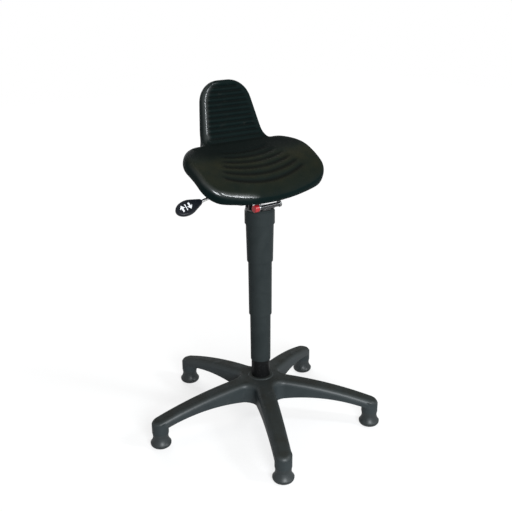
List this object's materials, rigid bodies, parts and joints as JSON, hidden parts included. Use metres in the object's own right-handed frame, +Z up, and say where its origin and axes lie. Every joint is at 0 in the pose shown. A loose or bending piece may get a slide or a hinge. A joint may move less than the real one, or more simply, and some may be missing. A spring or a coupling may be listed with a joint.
{
  "type": "sit-stand stool",
  "caption": "Sit-stand stool: grooved moulded seat with a small back, tilting on a sprung pivot over a lever-released gas column in telescoping sleeves, on a star base with glides.",
  "frame": {"origin": "on the floor, on the column's axis, under the middle of the base", "axes": "+Z up the column, the sitter faces -Y, the height lever is on the -X side"},
  "size_m": [0.6164, 0.6205, 0.9145],
  "materials": {
    "base_plastic": "satin moulded, fine texture",
    "glide_plastic": "satin moulded",
    "sleeve_plastic": "satin moulded",
    "tube_black": "satin black",
    "carrier_black": "semi-gloss black",
    "steel_bright": "zinc plated",
    "steel_ground": "ground and polished",
    "bush_plastic": "natural acetal",
    "rubber_black": "matte",
    "seat_skin": "self-skinned foam, satin",
    "insert_board": "plywood",
    "cap_red": "gloss",
    "paddle_black": "satin moulded"
  },
  "bodies": {
    "base": {"star_base": "base_plastic", "hub_ring": "steel_bright", "glide_1": "glide_plastic", "glide_2": "glide_plastic", "glide_3": "glide_plastic", "glide_4": "glide_plastic", "glide_5": "glide_plastic", "glide_stems": "steel_bright", "column_tube": "tube_black", "guide_bush": "bush_plastic", "lower_race": "steel_ground", "ball_cage": "bush_plastic", "bearing_balls": "steel_ground"},
    "rod": {"upper_race": "steel_ground", "piston_rod": "steel_ground", "bump_buffer": "rubber_black", "rod_washer": "steel_bright", "rod_clip": "steel_bright", "piston": "bush_plastic", "piston_ring": "rubber_black"},
    "column": {"gas_cylinder": "steel_ground", "rod_seal": "rubber_black", "valve_body": "bush_plastic", "cover_upper": "sleeve_plastic", "cover_collar": "sleeve_plastic", "taper_socket": "carrier_black", "tilt_bracket": "carrier_black", "lever_fork": "carrier_black", "lever_pin": "steel_bright", "pivot_tube": "carrier_black", "pivot_rubbers": "rubber_black", "pivot_washers": "steel_bright"},
    "sleeve_middle": {"cover_middle": "sleeve_plastic"},
    "sleeve_lower": {"cover_lower": "sleeve_plastic"},
    "valve_pin": {"release_pin": "steel_bright"},
    "lever": {"lever_rod": "steel_bright", "lever_paddle": "paddle_black"},
    "seat": {"seat_plate": "carrier_black", "seat_screws": "steel_bright", "insert_nuts": "steel_bright", "seat_insert": "insert_board", "seat_pad": "seat_skin", "pivot_shaft": "steel_bright", "pivot_clip": "steel_bright", "pivot_cap": "cap_red"}
  },
  "joints": [
    {"name": "swivel", "type": "hinge", "parent": "base", "child": "rod", "pos_m": [0, 0, 0.062], "axis": [0, 0, 1], "continuous": true},
    {"name": "lift", "type": "slide", "parent": "rod", "child": "column", "axis": [0, 0, 1], "range_m": [-0.2, 0]},
    {"name": "sleeve_middle_slide", "type": "slide", "parent": "rod", "child": "sleeve_middle", "axis": [0, 0, 1], "range_m": [-0.12, 0]},
    {"name": "sleeve_lower_slide", "type": "slide", "parent": "rod", "child": "sleeve_lower", "axis": [0, 0, 1], "range_m": [-0.04, 0]},
    {"name": "lever_pivot", "type": "hinge", "parent": "column", "child": "lever", "pos_m": [-0.033, 0, 0.6278], "axis": [0, 1, 0], "range_deg": [0, 5.5], "stiffness_Nm_per_rad": 3},
    {"name": "pin_slide", "type": "slide", "parent": "column", "child": "valve_pin", "axis": [0, 0, 1], "range_m": [-0.004, 0]},
    {"name": "seat_tilt", "type": "hinge", "parent": "column", "child": "seat", "pos_m": [0, -0.04, 0.6225], "axis": [1, 0, 0], "range_deg": [-14, 0], "stiffness_Nm_per_rad": 150, "springref_deg": 2.86}
  ],
  "couplings": [
    {"joint": "sleeve_middle_slide", "follows": "lift", "ratio": 0.6},
    {"joint": "sleeve_lower_slide", "follows": "lift", "ratio": 0.2},
    {"joint": "pin_slide", "follows": "lever_pivot", "m_per_rad": -0.036}
  ]
}
